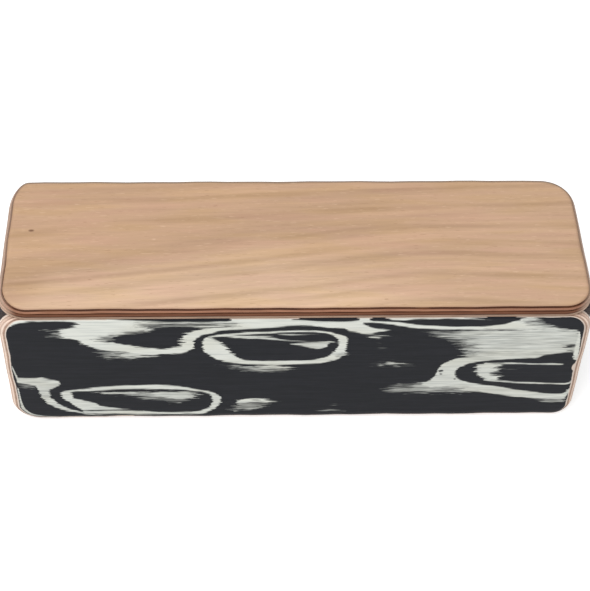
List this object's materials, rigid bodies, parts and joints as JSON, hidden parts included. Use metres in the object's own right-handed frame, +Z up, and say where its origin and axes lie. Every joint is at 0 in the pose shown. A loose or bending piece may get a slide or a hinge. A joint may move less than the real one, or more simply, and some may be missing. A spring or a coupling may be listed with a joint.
{
  "type": "box shaker",
  "caption": "Hand shaker: a long box of veneered plywood panels with rounded corners and black end plates, closed on a chamber of loose steel pellets that sound when it is shaken.",
  "frame": {"origin": "centre of the base, on the surface that the shaker rests on", "axes": "+X along the length to the right, +Y from the marbled front to the rear, +Z up through the pale top"},
  "size_m": [0.2, 0.0624, 0.06],
  "materials": {
    "pale_veneer": "pale straight-grained face veneer, sanded and thinly oiled",
    "marbled_veneer": "black and white figured face veneer, satin",
    "outer_ply": "sanded ply edge, pinkish brown",
    "core_ply": "sanded ply edge, brown end grain",
    "inner_ply": "sanded ply edge, pale",
    "black_board": "black dyed fibreboard, matt",
    "steel": "plain steel shot"
  },
  "bodies": {
    "box": {"top_veneer": "pale_veneer", "top_outer_ply": "outer_ply", "top_core_ply": "core_ply", "top_inner_ply": "inner_ply", "front_veneer": "marbled_veneer", "front_outer_ply": "outer_ply", "front_core_ply": "core_ply", "front_inner_ply": "inner_ply", "rear_veneer": "marbled_veneer", "rear_outer_ply": "outer_ply", "rear_core_ply": "core_ply", "rear_inner_ply": "inner_ply", "base_veneer": "pale_veneer", "base_outer_ply": "outer_ply", "base_core_ply": "core_ply", "base_inner_ply": "inner_ply", "left_end_plate": "black_board", "right_end_plate": "black_board"},
    "pellet_01": {"pellet_01": "steel"},
    "pellet_02": {"pellet_02": "steel"},
    "pellet_03": {"pellet_03": "steel"},
    "pellet_04": {"pellet_04": "steel"},
    "pellet_05": {"pellet_05": "steel"},
    "pellet_06": {"pellet_06": "steel"},
    "pellet_07": {"pellet_07": "steel"},
    "pellet_08": {"pellet_08": "steel"},
    "pellet_09": {"pellet_09": "steel"},
    "pellet_10": {"pellet_10": "steel"},
    "pellet_11": {"pellet_11": "steel"},
    "pellet_12": {"pellet_12": "steel"},
    "pellet_13": {"pellet_13": "steel"},
    "pellet_14": {"pellet_14": "steel"},
    "pellet_15": {"pellet_15": "steel"},
    "pellet_16": {"pellet_16": "steel"},
    "pellet_17": {"pellet_17": "steel"},
    "pellet_18": {"pellet_18": "steel"},
    "pellet_19": {"pellet_19": "steel"},
    "pellet_20": {"pellet_20": "steel"},
    "pellet_21": {"pellet_21": "steel"},
    "pellet_22": {"pellet_22": "steel"},
    "pellet_23": {"pellet_23": "steel"},
    "pellet_24": {"pellet_24": "steel"},
    "pellet_25": {"pellet_25": "steel"},
    "pellet_26": {"pellet_26": "steel"},
    "pellet_27": {"pellet_27": "steel"},
    "pellet_28": {"pellet_28": "steel"},
    "pellet_29": {"pellet_29": "steel"},
    "pellet_30": {"pellet_30": "steel"},
    "pellet_31": {"pellet_31": "steel"},
    "pellet_32": {"pellet_32": "steel"},
    "pellet_33": {"pellet_33": "steel"},
    "pellet_34": {"pellet_34": "steel"},
    "pellet_35": {"pellet_35": "steel"},
    "pellet_36": {"pellet_36": "steel"},
    "pellet_37": {"pellet_37": "steel"},
    "pellet_38": {"pellet_38": "steel"},
    "pellet_39": {"pellet_39": "steel"},
    "pellet_40": {"pellet_40": "steel"}
  },
  "joints": [
    {"name": "pellet_01_travel", "type": "slide", "parent": "box", "child": "pellet_01", "axis": [0, 1, 0], "range_m": [0, 0.0498]},
    {"name": "pellet_02_travel", "type": "slide", "parent": "box", "child": "pellet_02", "axis": [0, 1, 0], "range_m": [-0.03078, 0.01902]},
    {"name": "pellet_03_travel", "type": "slide", "parent": "box", "child": "pellet_03", "axis": [0, 1, 0], "range_m": [-0.01176, 0.03804]},
    {"name": "pellet_04_travel", "type": "slide", "parent": "box", "child": "pellet_04", "axis": [0, 1, 0], "range_m": [-0.04253, 0.00727]},
    {"name": "pellet_05_travel", "type": "slide", "parent": "box", "child": "pellet_05", "axis": [0, 1, 0], "range_m": [-0.02351, 0.02629]},
    {"name": "pellet_06_travel", "type": "slide", "parent": "box", "child": "pellet_06", "axis": [0, 1, 0], "range_m": [-0.00449, 0.04531]},
    {"name": "pellet_07_travel", "type": "slide", "parent": "box", "child": "pellet_07", "axis": [0, 1, 0], "range_m": [-0.03527, 0.01453]},
    {"name": "pellet_08_travel", "type": "slide", "parent": "box", "child": "pellet_08", "axis": [0, 1, 0], "range_m": [-0.01625, 0.03355]},
    {"name": "pellet_09_travel", "type": "slide", "parent": "box", "child": "pellet_09", "axis": [0, 1, 0], "range_m": [-0.04702, 0.00278]},
    {"name": "pellet_10_travel", "type": "slide", "parent": "box", "child": "pellet_10", "axis": [0, 1, 0], "range_m": [-0.028, 0.0218]},
    {"name": "pellet_11_travel", "type": "slide", "parent": "box", "child": "pellet_11", "axis": [0, 1, 0], "range_m": [-0.00898, 0.04082]},
    {"name": "pellet_12_travel", "type": "slide", "parent": "box", "child": "pellet_12", "axis": [0, 1, 0], "range_m": [-0.03976, 0.01004]},
    {"name": "pellet_13_travel", "type": "slide", "parent": "box", "child": "pellet_13", "axis": [0, 1, 0], "range_m": [-0.02074, 0.02906]},
    {"name": "pellet_14_travel", "type": "slide", "parent": "box", "child": "pellet_14", "axis": [0, 1, 0], "range_m": [-0.00171, 0.04809]},
    {"name": "pellet_15_travel", "type": "slide", "parent": "box", "child": "pellet_15", "axis": [0, 1, 0], "range_m": [-0.03249, 0.01731]},
    {"name": "pellet_16_travel", "type": "slide", "parent": "box", "child": "pellet_16", "axis": [0, 1, 0], "range_m": [-0.01347, 0.03633]},
    {"name": "pellet_17_travel", "type": "slide", "parent": "box", "child": "pellet_17", "axis": [0, 1, 0], "range_m": [-0.04425, 0.00555]},
    {"name": "pellet_18_travel", "type": "slide", "parent": "box", "child": "pellet_18", "axis": [0, 1, 0], "range_m": [-0.02523, 0.02457]},
    {"name": "pellet_19_travel", "type": "slide", "parent": "box", "child": "pellet_19", "axis": [0, 1, 0], "range_m": [-0.00621, 0.04359]},
    {"name": "pellet_20_travel", "type": "slide", "parent": "box", "child": "pellet_20", "axis": [0, 1, 0], "range_m": [-0.03698, 0.01282]},
    {"name": "pellet_21_travel", "type": "slide", "parent": "box", "child": "pellet_21", "axis": [0, 1, 0], "range_m": [-0.01796, 0.03184]},
    {"name": "pellet_22_travel", "type": "slide", "parent": "box", "child": "pellet_22", "axis": [0, 1, 0], "range_m": [-0.04874, 0.00106]},
    {"name": "pellet_23_travel", "type": "slide", "parent": "box", "child": "pellet_23", "axis": [0, 1, 0], "range_m": [-0.02972, 0.02008]},
    {"name": "pellet_24_travel", "type": "slide", "parent": "box", "child": "pellet_24", "axis": [0, 1, 0], "range_m": [-0.0107, 0.0391]},
    {"name": "pellet_25_travel", "type": "slide", "parent": "box", "child": "pellet_25", "axis": [0, 1, 0], "range_m": [-0.04147, 0.00833]},
    {"name": "pellet_26_travel", "type": "slide", "parent": "box", "child": "pellet_26", "axis": [0, 1, 0], "range_m": [-0.02245, 0.02735]},
    {"name": "pellet_27_travel", "type": "slide", "parent": "box", "child": "pellet_27", "axis": [0, 1, 0], "range_m": [-0.00343, 0.04637]},
    {"name": "pellet_28_travel", "type": "slide", "parent": "box", "child": "pellet_28", "axis": [0, 1, 0], "range_m": [-0.03421, 0.01559]},
    {"name": "pellet_29_travel", "type": "slide", "parent": "box", "child": "pellet_29", "axis": [0, 1, 0], "range_m": [-0.01519, 0.03461]},
    {"name": "pellet_30_travel", "type": "slide", "parent": "box", "child": "pellet_30", "axis": [0, 1, 0], "range_m": [-0.04596, 0.00383]},
    {"name": "pellet_31_travel", "type": "slide", "parent": "box", "child": "pellet_31", "axis": [0, 1, 0], "range_m": [-0.02694, 0.02286]},
    {"name": "pellet_32_travel", "type": "slide", "parent": "box", "child": "pellet_32", "axis": [0, 1, 0], "range_m": [-0.00792, 0.04188]},
    {"name": "pellet_33_travel", "type": "slide", "parent": "box", "child": "pellet_33", "axis": [0, 1, 0], "range_m": [-0.0387, 0.0111]},
    {"name": "pellet_34_travel", "type": "slide", "parent": "box", "child": "pellet_34", "axis": [0, 1, 0], "range_m": [-0.01968, 0.03012]},
    {"name": "pellet_35_travel", "type": "slide", "parent": "box", "child": "pellet_35", "axis": [0, 1, 0], "range_m": [-0.00065, 0.04915]},
    {"name": "pellet_36_travel", "type": "slide", "parent": "box", "child": "pellet_36", "axis": [0, 1, 0], "range_m": [-0.03143, 0.01837]},
    {"name": "pellet_37_travel", "type": "slide", "parent": "box", "child": "pellet_37", "axis": [0, 1, 0], "range_m": [-0.01241, 0.03739]},
    {"name": "pellet_38_travel", "type": "slide", "parent": "box", "child": "pellet_38", "axis": [0, 1, 0], "range_m": [-0.04319, 0.00661]},
    {"name": "pellet_39_travel", "type": "slide", "parent": "box", "child": "pellet_39", "axis": [0, 1, 0], "range_m": [-0.02417, 0.02563]},
    {"name": "pellet_40_travel", "type": "slide", "parent": "box", "child": "pellet_40", "axis": [0, 1, 0], "range_m": [-0.00515, 0.04465]}
  ]
}
